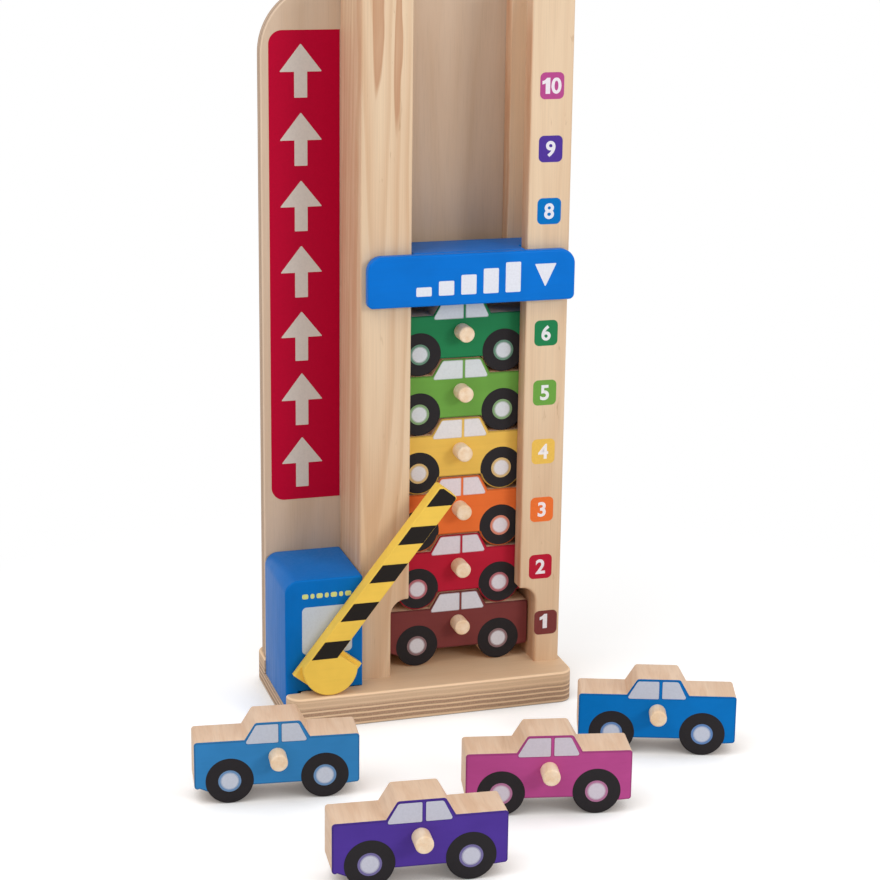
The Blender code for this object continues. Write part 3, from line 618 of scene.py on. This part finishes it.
class GARAGE_OT_boards(bpy.types.Operator):
    """Base board, back panel and the pine of the two posts"""
    bl_idname = "garage.boards"
    bl_label = "Boards and posts"

    def execute(self, context):
        wood = context.scene.garage_wood
        low, high = BASE
        # The step for the booth's skirt: 0.3 mm of air below and beside it, 1 mm in front of it
        step_z = BOOTH[0].z - 0.3 * MM
        notch_x = BOOTH[0].x + 8.3 * MM
        notch_front, notch_back = BOOTH[0].y - 1.0 * MM, LEFT_POST[1].y
        corner, notch_corner = 8 * MM, 2.6 * MM
        base_wood = plywood("birch_plywood_base", low.z, high.z - low.z, wood.base_ply,
                            across=Z, along=X, veneer=tuple(wood.birch), plain=0.68)
        full = rounded(box_corners(low.x, low.y, high.x, high.y, corner), 16)
        notched = rounded([
            (low.x, low.y, corner), (high.x, low.y, corner), (high.x, high.y, corner),
            (low.x, high.y, corner), (low.x, notch_back, 0.0), (notch_x, notch_back, 0.0),
            (notch_x, notch_front, 0.0), (low.x, notch_front, notch_corner)], 16)
        piece("base_plies", [slab(full, low.z, step_z, Z, (wood.board_edge, 0)),
                             slab(notched, step_z, high.z, Z, (0, wood.board_edge))],
              [base_wood], "garage", ["base_board"])

        low, high = PANEL
        plain_corner, top_left = 2 * MM, 37 * MM
        panel_wood = plywood("birch_plywood_panel", low.y, high.y - low.y, wood.panel_ply,
                             across=Y, along=Z, veneer=linear("#d0b79f"), plain=0.9)
        outline = rounded(box_corners(low.x, low.z, high.x, high.z, [plain_corner] * 3 + [top_left]), 24)
        piece("rounded_back_panel", [slab(outline, low.y, high.y, edge=0.9 * MM)], [panel_wood], "garage",
              ["back_panel"])

        left = pine("pine_left", pith=(0.0295, 0.0021), lean=-0.42, strong=0.65, side=0.1, heartwood_and_shade=0.55,
                    cores=[(0.0294, 0.0041, 0.0032), (0.0172, 0.0065, 0.0023)])
        right = pine("pine_right", pith=(-0.0685, 0.0021), lean=-0.42, strong=0.25, side=0.3,
                     heartwood_and_shade=0.85)
        self.post("left_post", left, 10.2 * MM)
        self.post("right_post", right, 9.5 * MM)
        return {"FINISHED"}

    @staticmethod
    def post(name, finish, depth):
        """A post as two solids that share a face: the front lip with its half of the doorway, and
        the wall and rear lip of the groove. Both are worked out from the middle of the shaft; depth
        is that of the groove."""
        low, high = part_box(name)
        shaft = (BLOCK[0].x + BLOCK[1].x) / 2
        slot, outer = sorted(abs(v - shaft) for v in (low.x, high.x))
        groove, head = slot + depth, low.z + 44.7 * MM
        lip_back, groove_back = low.y + 9.6 * MM, high.y - 10 * MM
        # The foot goes 2 mm into the base, so that no rounding shows there
        foot = BASE[1].z - 2 * MM
        arris, sanded, doorway_edge, hair = 1 * MM, 0.9 * MM, 1.5 * MM, 0.1 * MM
        lip = rounded([
            (groove, foot, 0), (outer, foot, 0), (outer, high.z, arris), (slot, high.z, arris),
            (slot, head, 1.2 * MM), (groove, head, depth - 1.3 * MM)], 12)
        doorway = (lip[:, 0] < groove + hair) & (lip[:, 1] < head + hair)
        lip_edge = np.where(doorway, doorway_edge, sanded)
        wall = rounded([
            (groove, lip_back, 0), (outer, lip_back, 0), (outer, high.y, arris),
            (slot, high.y, arris), (slot, groove_back, arris), (groove, groove_back, 0)], 4)
        # Rounded at the top all round, but not where it meets the lip
        near = lip_back + 0.5 * MM
        wall = np.concatenate([wall[:2], [(outer, near)], wall[2:], [(groove, near)]])
        wall_edge = np.where(wall[:, 1] < near - hair, 0.0, sanded)
        if high.x < shaft:
            lip, wall = lip[::-1] * (-1, 1), wall[::-1] * (-1, 1)
            lip_edge, wall_edge = lip_edge[::-1], wall_edge[::-1]
        move = np.array([shaft, 0.0])
        piece(name + "_board", [
            slab(lip + move, low.y, lip_back, Y, (lip_edge, 0)),
            slab(wall + move, foot + hair, high.z, Z, (0, wall_edge))],
            [finish], "garage", [name])


class GARAGE_OT_booth(bpy.types.Operator):
    """Ticket booth with its printed window and a row of marks"""
    bl_idname = "garage.booth"
    bl_label = "Ticket booth"

    def execute(self, context):
        paints = context.scene.garage_paint
        low, high = BOOTH
        # Its foot is 1 mm deeper than the base's top, so that the sanded edge leaves no slit there
        step_x, step_z = low.x + 8 * MM, LEFT_POST[0].z - 1 * MM
        arris, top_right, top_left = 0.4 * MM, 1.2 * MM, 7.5 * MM
        outline = rounded([
            (low.x, low.z, arris), (step_x, low.z, arris), (step_x, step_z, 0.0),
            (high.x, step_z, arris), (high.x, high.z, top_right), (low.x, high.z, top_left)], 14)
        blue = paint("booth_blue_paint", tuple(paints.booth), 0.34, Z)
        piece("booth_block", [slab(outline, low.y, high.y, edge=1.0 * MM)], [blue], "garage",
              ["ticket_booth"])
        left, right, sill, top = low.x + 9.4 * MM, high.x - 6.1 * MM, 39.6 * MM, 67.0 * MM
        shapes = [film(rounded(box_corners(left, sill, right, top, 2.6 * MM), 8), low.y, 0)]
        # Dashes and dots by turns, over the window and a little to its left
        marks, mark_low, mark_high, end = 7, 71.9 * MM, 74.7 * MM, 1.0 * MM
        for k in range(marks):
            centre = left - 0.2 * MM + (k + 0.5) * (right - left) / marks
            half = (1.1 if k % 2 else 1.75) * MM
            mark = rounded(box_corners(centre - half, mark_low, centre + half, mark_high, end), 6)
            shapes.append(film(mark, low.y, 1))
        piece("booth_print", shapes,
              [ink("window_ink", tuple(paints.glass)), ink("yellow_ink", linear("#d3d988"))],
              "garage")
        return {"FINISHED"}


class GARAGE_OT_barrier(bpy.types.Operator):
    """Barrier: striped arm with its disc, and the backing board with its two stops"""
    bl_idname = "garage.barrier"
    bl_label = "Barrier"

    def execute(self, context):
        paints = context.scene.garage_paint
        tilt, disc_r, shoulder, flat_end = math.radians(52), 15.2 * MM, 11.0 * MM, 9.1 * MM
        upper, lower, tip, corner = -13.1 * MM, -0.8 * MM, 117 * MM, 1.6 * MM
        yellow = paint("barrier_yellow_paint", tuple(paints.barrier), 0.34, X)

        def spots(flat):
            """(along the arm, across it) points as they lie at rest."""
            flat = np.asarray(flat, float)
            return np.stack([
                PIVOT[0] + flat[:, 0] * math.cos(tilt) + flat[:, 1] * math.sin(tilt),
                PIVOT[2] + flat[:, 0] * math.sin(tilt) - flat[:, 1] * math.cos(tilt)], 1)

        # The disc is cut flat along the arm's upper edge, and at a shoulder on the other side
        turn = np.linspace(math.pi + math.asin(-upper / disc_r), math.acos(flat_end / disc_r), 60)
        disc = np.concatenate([arc((0, 0), disc_r, turn), [(flat_end, lower)]])
        quarter = np.linspace(math.pi / 2, 0, 7)
        end = np.concatenate([arc((tip - corner, lower - corner), corner, quarter),
                              arc((tip - corner, upper + corner), corner, quarter - math.pi / 2)])
        head = np.concatenate([[(-disc_r, upper)],
                               arc((0, 0), disc_r, np.linspace(math.pi, math.pi / 2, 20)),
                               [(shoulder, disc_r), (shoulder, lower)]])
        # The front board goes 0.2 mm into the back one, so that nothing shows between them
        front = slab(spots([*end, *disc]), ARM[0].y, BACKING[0].y + 0.2 * MM, edge=(0.6 * MM, 0))
        back = slab(spots([*end, *head]), BACKING[0].y, BACKING[1].y, edge=(0.5 * MM, 0.9 * MM))
        piece("barrier_striped_arm", [front], [yellow], "barrier", ["barrier_arm"])
        piece("barrier_backing_board", [back], [yellow], "barrier", ["barrier_backing"])

        # Stripes are level at rest: cut off 0.65 mm inside the upper edge, 0.3 mm inside the lower one
        inner, outer, last = upper + 0.65 * MM, lower - 0.3 * MM, tip - 0.5 * MM
        bands = []
        for foot in (6.3 * MM, 27.0 * MM, 47.7 * MM, 68.2 * MM, 88.7 * MM):
            top = foot + 9.7 * MM
            corners = [((z + across * math.cos(tilt)) / math.sin(tilt), across)
                       for z, across in ((foot, outer), (top, outer), (top, inner), (foot, inner))]
            if corners[1][0] > last:
                # The topmost one follows the arm's rounded end
                meets = (last * math.sin(tilt) - top) / math.cos(tilt)
                corners[1:2] = [*arc((last - corner, outer - corner), corner, quarter), (last, meets)]
            bands.append(film(spots(corners), ARM[0].y, 0))
        piece("barrier_stripes", bands, [ink("stripe_ink", tuple(paints.stripes))], "barrier")
        dress("barrier_pivot_dowel", dowel_wood(False))
        return {"FINISHED"}


class GARAGE_OT_level_slider(bpy.types.Operator):
    """Level slider: the sign board with rising bars and a pointer, and its block in the grooves"""
    bl_idname = "garage.level_slider"
    bl_label = "Level slider"

    def execute(self, context):
        paints = context.scene.garage_paint
        blue = paint("level_blue_paint", tuple(paints.slider), 0.34, X)
        low, high = SIGN
        bottom, top = 3.0 * MM, 8.2 * MM
        outline = rounded(box_corners(low.x, low.z, high.x, high.z, [bottom, bottom, top, top]), 12)
        piece("level_board", [slab(outline, low.y, high.y, edge=1.0 * MM)], [blue], "level_slider",
              ["level_sign"])
        dress("level_block", blue)
        for name in ("level_dowel_left", "level_dowel_right"):
            dress(name, dowel_wood(False))

        middle = (low.z + high.z) / 2
        wide, pitch, foot = 8.6 * MM, 12.6 * MM, middle - 8.3 * MM
        shapes = []
        for k in range(5):
            left = low.x + 26.6 * MM + k * pitch
            height = (5.0 + 2.9 * k) * MM
            bar = rounded(box_corners(left, foot, left + wide, foot + height, 0.7 * MM), 4)
            shapes.append(film(bar, low.y, 0))
        point, half, brim, soft = high.x - 17.2 * MM, 6.2 * MM, middle + 6.6 * MM, 0.3 * MM
        pointer = rounded([(point, middle - 6.2 * MM, soft), (point + half, brim, soft),
                           (point - half, brim, soft)], 3)
        shapes.append(film(pointer, low.y, 0))
        piece("level_print", shapes, [ink("white_ink", linear("#e4e6f0"))], "level_slider")
        return {"FINISHED"}


class GARAGE_OT_back_sign(bpy.types.Operator):
    """Tall printed field on the back panel with seven arrows"""
    bl_idname = "garage.back_sign"
    bl_label = "Back sign"

    # Foot and tip of each arrow, in mm above the floor
    ARROWS = ((339, 368), (302, 331), (266, 294), (229, 258), (193, 221), (156, 186), (120, 149))

    def execute(self, context):
        paints = context.scene.garage_paint
        face = PANEL[0].y
        # The field is cut off by the post, past which it would go on by 6 mm
        left, right = PANEL[0].x + 4.4 * MM, LEFT_POST[0].x - 0.2 * MM
        outer, inner = 7.5 * MM, 0.5 * MM
        field = rounded(box_corners(left, 112.8 * MM, right + 6 * MM, 375.2 * MM,
                                    [outer, inner, inner, outer]), 10)
        field[:, 0] = np.minimum(field[:, 0], right)
        shapes = [film(field, face, 0)]
        centre, stem, wing, soft, inside = left + 17.7 * MM, 3.6 * MM, 11.8 * MM, 0.3 * MM, 0.2 * MM
        for low, high in self.ARROWS:
            foot, tip = low * MM, high * MM
            neck = foot + 0.48 * (tip - foot)
            shapes.append(film(rounded([
                (centre - stem, foot, soft), (centre + stem, foot, soft), (centre + stem, neck, inside),
                (centre + wing, neck, soft), (centre, tip, 0.5 * MM), (centre - wing, neck, soft),
                (centre - stem, neck, inside)], 4), face, 1, 2))
        piece("back_sign_print", shapes,
              [ink("crimson_ink", tuple(paints.back_sign)), ink("grey_ink", linear("#cfc6be"))],
              "garage")
        return {"FINISHED"}


class GARAGE_OT_level_numbers(bpy.types.Operator):
    """Numbers one to ten in coloured badges on the right post"""
    bl_idname = "garage.level_numbers"
    bl_label = "Level numbers"

    def execute(self, context):
        face = RIGHT_POST[0].y
        column, first, half, half_tall = 67.8 * MM, 41.6 * MM, 6.8 * MM, 7.2 * MM
        shapes, inks = [], []
        for k in CARS:
            # The lowest badge makes way for the doorway, and the ten has its two figures side by side
            x = column + (4.0 * MM if k == 1 else 0.0)
            z = first + (k - 1) * LEVEL
            badge, number = k - 1, 10 + k - 1
            shapes.append(film(rounded(box_corners(x - half, z - half_tall, x + half, z + half_tall,
                                                   2.9 * MM), 8), face, badge))
            if k == 1:
                shapes.append(figure_one((x - 1.3 * MM, z + 0.8 * MM), 8.6 * MM, face, number))
            elif k == 10:
                shapes.append(figure_one((x - 3.3 * MM, z), 8.6 * MM, face, number))
                shapes.append(numeral("0", (x + 2.4 * MM, z), 8.7 * MM, face, number))
            else:
                shapes.append(numeral(str(k), (x, z), 8.7 * MM, face, number))
            inks.append(ink(CAR_NAMES[k] + "_badge_ink", linear(CAR_COLOURS[k])))
        for k in CARS:
            colour = tint(linear(CAR_COLOURS[k]), 0.12, linear("#f3f0f4"), 0.88)
            inks.append(ink(CAR_NAMES[k] + "_number_ink", colour))
        piece("level_numbers", shapes, inks, "garage")
        return {"FINISHED"}


class GARAGE_OT_cars(bpy.types.Operator):
    """Ten block cars with printed wheels and windows, and their pegs"""
    bl_idname = "garage.cars"
    bl_label = "Cars"

    # Materials of a car's block, and inks of its prints
    WOOD, FACE, TYRE, RIM = range(4)
    TYRES, SHADE, RING, HALO, HUB, WINDOW = range(6)

    def execute(self, context):
        sizes = context.scene.garage_cars
        wood, peg_wood = car_wood(), dowel_wood(True)
        tyre = ink("tyre_ink", linear("#2d2a2c"), 0.45)
        outline, wheel = self.outline(sizes)
        soft, radius = 1.0 * MM, sizes.peg_radius
        profile = np.concatenate([
            [(radius - 1.3 * MM, -PEG_OUT)],
            arc((radius - soft, soft - PEG_OUT), soft, np.linspace(-math.pi / 2, 0, 6)),
            [(radius, 10.8 * MM)]])
        seed = np.random.default_rng(4)
        for number in CARS:
            name, finish = "car_%02d" % number, CAR_NAMES[number]
            stacked = number in STACKED
            place, turn = self.stance(name)
            colour = linear(CAR_COLOURS[number])
            body_paint = paint(finish + "_paint", colour, 0.40, X)
            rim = paint(finish + "_edge_paint", tint(colour, 0.72), 0.45, X)
            # Thin pale ink over the car's paint takes some of its colour
            prints = [tyre] + [
                ink("%s_%s_ink" % (finish, part), tint(colour, own, linear("#e0e1e9"), white))
                for part, own, white in (
                    ("shade", 0.72, 0.0), ("ring", 0.66, 0.17), ("halo", 0.35, 0.50),
                    ("hub", 0.10, 0.88) if stacked else ("hub", 0.16, 0.75),
                    ("window", 0.14, 0.88 if stacked else 0.72))]
            shift = seed.uniform(-0.5, 0.5, 3)
            # On three cars the wheels were printed a little off, and the body's colour shows round them
            block = slab(outline, 0.0, 22.5 * MM, edge=sizes.edge, front=self.FACE, rim=self.RIM,
                         deep=None if number in (2, 3, 4) else wheel)
            piece(name + "_block", [block], [wood, body_paint, tyre, rim], name, [name + "_body"],
                  turn, place, shift)
            piece(name + "_print", self.prints(sizes, self.HALO if stacked else self.SHADE), prints,
                  name, turn=turn, place=place)
            piece(name + "_turned_peg", [turned(profile, 24.2 * MM)], [peg_wood], name,
                  [name + "_peg"], turn, place, shift + 0.3)
        return {"FINISHED"}

    @staticmethod
    def stance(name):
        """Where the middle of a car's painted face stands, and its turn. The longest direction of the
        solid peg's points is the car's own Y, and the peg starts PEG_OUT before the face."""
        points = corners_of(frame["nodes"][name + "_peg"].data)[:, :2]
        middle = points.mean(0)
        spread = points - middle
        long = np.linalg.eigh(spread.T @ spread)[1][:, 1]
        long = long if long[1] > 0 else -long
        side = np.array([long[1], -long[0]])
        x, y = long * ((points @ long).min() + PEG_OUT) + side * (middle @ side)
        return (float(x), float(y), float(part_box(name + "_body")[0].z)), math.atan2(-long[0], long[1])

    @classmethod
    def outline(cls, sizes):
        """A car's side view, wheel bottoms at zero, and the tyre's material number on its wheels.

        Below the bumper and the sill each wheel is an arc of its own circle; the rest is a polygon
        with rounded corners, whose first corner only closes it and is left out."""
        r, half, end, steps = sizes.tyre_radius, sizes.wheel_spacing / 2, 42 * MM, 28
        hood, roof, bumper, sill = 33.7 * MM, 42.6 * MM, 6.8 * MM, 9.2 * MM
        outside, inside = math.acos((r - bumper) / r), math.acos((r - sill) / r)
        down, corner, roof_corner = -math.pi / 2, 1.6 * MM, 1.8 * MM
        body = rounded([
            (-half, 20 * MM, 0), (end, bumper, corner), (end, hood, corner), (16.8 * MM, hood, 0),
            (11.8 * MM, roof, roof_corner), (-11.0 * MM, roof, roof_corner), (-16.5 * MM, hood, 0),
            (-end, hood, corner), (-end, bumper, corner)], 5)[1:]
        ring = np.concatenate([
            arc((-half, r), r, np.linspace(down - outside, down + inside, steps)),
            arc((half, r), r, np.linspace(down - inside, down + outside, steps)), body])
        deep = np.full(len(ring), -1)
        deep[:steps - 1] = deep[steps:2 * steps - 1] = cls.TYRE
        return ring, deep

    @classmethod
    def prints(cls, sizes, line):
        """Tyres, rings, hubs and the two windows, each ink a film higher than the one it lies on;
        line is the ink of the line round a window, 0.35 mm wide.

        A tyre is a full circle where the body is behind it, and drawn in by the sanded edge
        below the sill, where the wheel itself ends."""
        shapes = []
        for side in (-1, 1):
            middle = np.array([side * sizes.wheel_spacing / 2, sizes.tyre_radius])
            disc = circle(middle, sizes.tyre_radius, 96)
            low = disc[:, 1] < np.where((disc[:, 0] - middle[0]) * side > 0, 7.4 * MM, 9.8 * MM)
            drawn = middle + (disc - middle) * (1 - sizes.edge / sizes.tyre_radius)
            shapes.append(film(np.where(low[:, None], drawn, disc), 0.0, cls.TYRES))
            for level, (colour, radius) in enumerate((
                    (cls.RING, sizes.ring_radius), (cls.HALO, sizes.hub_radius + 0.55 * MM),
                    (cls.HUB, sizes.hub_radius)), 2):
                shapes.append(film(circle(middle, radius, 56), 0.0, colour, level))
        left = [(-16.4, 31.7, 0.9), (0.5, 31.7, 0.6), (0.5, 41.6, 0.6), (-10.7, 41.6, 1.6)]
        right = [(2.3, 31.9, 0.6), (15.4, 31.9, 0.9), (10.7, 41.6, 1.6), (2.3, 41.6, 0.6)]
        for window in (left, right):
            pane = rounded(np.array(window) * MM, 6)
            middle = (pane.max(0) + pane.min(0)) / 2
            wide = middle + (pane - middle) * (1 + 0.35 * MM / (pane.max(0) - middle))
            shapes += [film(wide, 0.0, line), film(pane, 0.0, cls.WINDOW, 2)]
        return shapes


class GARAGE_OT_screws(bpy.types.Operator):
    """Zinc-plated screws from below"""
    bl_idname = "garage.screws"
    bl_label = "Screws"

    def execute(self, context):
        steel = zinc()
        for name in frame["nodes"]:
            if name.endswith("_screw"):
                dress(name, steel)
        return {"FINISHED"}


class GARAGE_OT_stage(bpy.types.Operator):
    """Pale floor, soft lamps and the camera"""
    bl_idname = "garage.stage"
    bl_label = "Stage"

    def execute(self, context):
        scene = context.scene
        scene.view_settings.view_transform = "Standard"
        self.camera(scene)
        self.floor(scene)
        self.light(scene)
        return {"FINISHED"}

    @staticmethod
    def camera(scene):
        """A long lens from the left and a little above, with its frame shifted onto the garage."""
        yaw, pitch, roll = (math.radians(v) for v in (17.12, 14.23, 0.71))
        place = Vector((-0.3221, -1.0940, 0.4745))
        back = Vector((-math.sin(yaw) * math.cos(pitch), -math.cos(yaw) * math.cos(pitch),
                       math.sin(pitch)))
        right = Vector((math.cos(yaw), -math.sin(yaw), 0.0))
        up = back.cross(right)
        level = right * math.cos(roll) + up * math.sin(roll)
        upward = up * math.cos(roll) - right * math.sin(roll)
        lens = bpy.data.cameras.new("camera")
        lens.sensor_width = 36.0
        lens.lens = 86.58
        lens.shift_x = -0.0015
        lens.shift_y = -0.0719
        lens.clip_start = 0.05
        view = bpy.data.objects.new("camera", lens)
        scene.collection.objects.link(view)
        turned_to = Matrix((level, upward, back)).transposed()
        view.matrix_world = Matrix.Translation(place) @ turned_to.to_4x4()
        scene.camera = view

    @staticmethod
    def floor(scene):
        """A pale floor whose seen colour rises to white away from the object; its shadows stay, and near
        the cars and the base its colour is painted darker as well, deepest right under the cars: painted
        shade where little of the room's light gets in."""
        made, node = material("pale_floor")
        # Painted shade: where the occlusion node finds little open room within 50 mm, the floor's colour
        # is painted darker, down to about a third of its grey
        near = node("AmbientOcclusion", {"Distance": 50 * MM}, "AO", samples=8)
        free = node("ValToRGB", (near,), stops=[(0.10, 0.32), (0.50, 0.76), (0.70, 1.0)])
        grey = node("VectorMath", (free, (0.90, 0.90, 0.90)), operation="MULTIPLY")
        lit = node("BsdfPrincipled", {"Base Color": grey, "Roughness": 0.9, "Specular IOR Level": 0.0})
        # A little light of its own, for the camera alone, lifts the lit floor to white, and less of it
        # where the floor is painted darker
        camera_ray = node("LightPath", out="Is Camera Ray")
        lift = node("Math", (camera_ray, 0.30), operation="MULTIPLY")
        lift = node("Math", (lift, free), operation="MULTIPLY")
        lit = node("AddShader", (lit, node("Emission", {"Color": (1, 1, 1), "Strength": lift})))
        # Between 0.20 m and 0.42 m from the garage's front it goes over to plain white for the camera
        spot = node("TexCoord", out="Object")
        far = node("VectorMath", (spot, (0.0, -0.08, 0.0)), "Value", operation="DISTANCE")
        away = node("ValToRGB", (far,), stops=[(0.20, 0.0), (0.42, 1.0)])
        seen = node("Math", (away, camera_ray), operation="MULTIPLY")
        white = node("Emission", {"Color": (1, 1, 1), "Strength": 1.0})
        node("OutputMaterial", {"Surface": node("MixShader", (seen, lit, white))})
        mesh = bpy.data.meshes.new("floor")
        mesh.from_pydata([(-3, -3, 0), (3, -3, 0), (3, 4, 0), (-3, 4, 0)], [], [(0, 1, 2, 3)])
        mesh.materials.append(made)
        obj = bpy.data.objects.new("floor", mesh)
        scene.collection.objects.link(obj)

    @staticmethod
    def light(scene):
        """A white room that lights the object with 0.62, though camera and gloss see it as 1, a key
        lamp from the right front and a wide one overhead, both turned to the garage's middle."""
        world = bpy.data.worlds.new("studio")
        world.use_nodes = True
        world.node_tree.nodes.clear()
        node = functools.partial(add, world.node_tree)
        seen = 0.0
        for ray in ("Is Camera Ray", "Is Transmission Ray", "Is Glossy Ray"):
            seen = node("Math", (seen, node("LightPath", out=ray)), operation="MAXIMUM")
        strength = node("Math", (seen, 0.38, 0.62), operation="MULTIPLY_ADD")
        node("OutputWorld", {"Surface": node("Background", {"Color": (1, 1, 1), "Strength": strength})})
        scene.world = world
        middle = Vector((0.0, 0.0, 0.16))
        for name, place, size, power in (
                ("key", (0.65, -1.04, 0.60), 0.37, 4.1),
                ("overhead", (-0.75, -0.40, 1.35), 1.2, 7.6)):
            data = bpy.data.lights.new(name, "AREA")
            data.shape = "DISK"
            data.size = size
            data.energy = power
            lamp = bpy.data.objects.new(name, data)
            scene.collection.objects.link(lamp)
            aim = (middle - Vector(place)).to_track_quat("-Z", "Y").to_matrix().to_4x4()
            lamp.matrix_world = Matrix.Translation(place) @ aim


STEPS = (
    GARAGE_OT_boards, GARAGE_OT_booth, GARAGE_OT_barrier, GARAGE_OT_level_slider, GARAGE_OT_back_sign,
    GARAGE_OT_level_numbers, GARAGE_OT_cars, GARAGE_OT_screws, GARAGE_OT_stage,
)
GROUPS = {"garage_wood": GarageWood, "garage_paint": GaragePaint, "garage_cars": GarageCarSizes}


class GARAGE_PT_panel(bpy.types.Panel):
    """Buttons for each group of pieces, and the sizes and colours"""
    bl_label = "Stacking garage"
    bl_idname = "GARAGE_PT_panel"
    bl_space_type = "VIEW_3D"
    bl_region_type = "UI"
    bl_category = "Garage"

    def draw(self, context):
        for group in GROUPS:
            values = getattr(context.scene, group)
            for name in values.__annotations__:
                self.layout.prop(values, name)
        for step in STEPS:
            self.layout.operator(step.bl_idname)


def register():
    for name, group in GROUPS.items():
        bpy.utils.register_class(group)
        setattr(bpy.types.Scene, name, PointerProperty(type=group))
    for step in (*STEPS, GARAGE_PT_panel):
        bpy.utils.register_class(step)


def unregister():
    for step in (GARAGE_PT_panel, *reversed(STEPS)):
        bpy.utils.unregister_class(step)
    for name, group in GROUPS.items():
        delattr(bpy.types.Scene, name)
        bpy.utils.unregister_class(group)


def plain(bounds):
    """A box's corners as lists of numbers."""
    return [[float(v) for v in corner] for corner in bounds]


def main():
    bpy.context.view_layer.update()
    register()
    bpy.ops.garage.boards()
    bpy.ops.garage.booth()
    bpy.ops.garage.barrier()
    bpy.ops.garage.level_slider()
    bpy.ops.garage.back_sign()
    bpy.ops.garage.level_numbers()
    bpy.ops.garage.cars()
    bpy.ops.garage.screws()
    bpy.ops.garage.stage()


if __name__ == "__main__":
    main()
